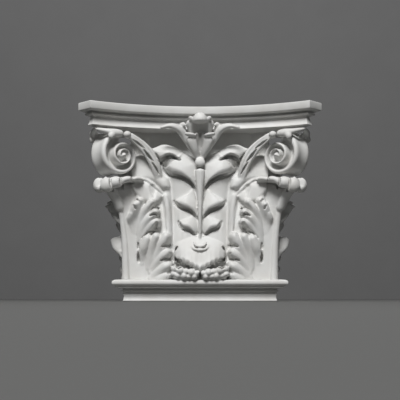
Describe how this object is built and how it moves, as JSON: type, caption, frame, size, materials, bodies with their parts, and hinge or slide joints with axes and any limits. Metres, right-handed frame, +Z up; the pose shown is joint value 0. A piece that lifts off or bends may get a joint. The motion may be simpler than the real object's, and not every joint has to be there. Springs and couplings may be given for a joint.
{
  "type": "corinthian pilaster capital",
  "caption": "Corinthian pilaster capital with acanthus corner leaves, diagonal volutes, a palmette and a concave abacus; flat back.",
  "frame": {"origin": "centre of the underside, where the capital stands on the pilaster shaft", "axes": "+Z up, the carved front faces -Y, the flat back lies on the wall at y = +30 mm, +X to the right seen from the front"},
  "size_m": [0.35, 0.12, 0.285],
  "materials": {
    "primed_cast": "white primed high-density cast foam, matt, faintly grainy"
  },
  "bodies": {
    "root": {"capital": "primed_cast"}
  },
  "joints": []
}
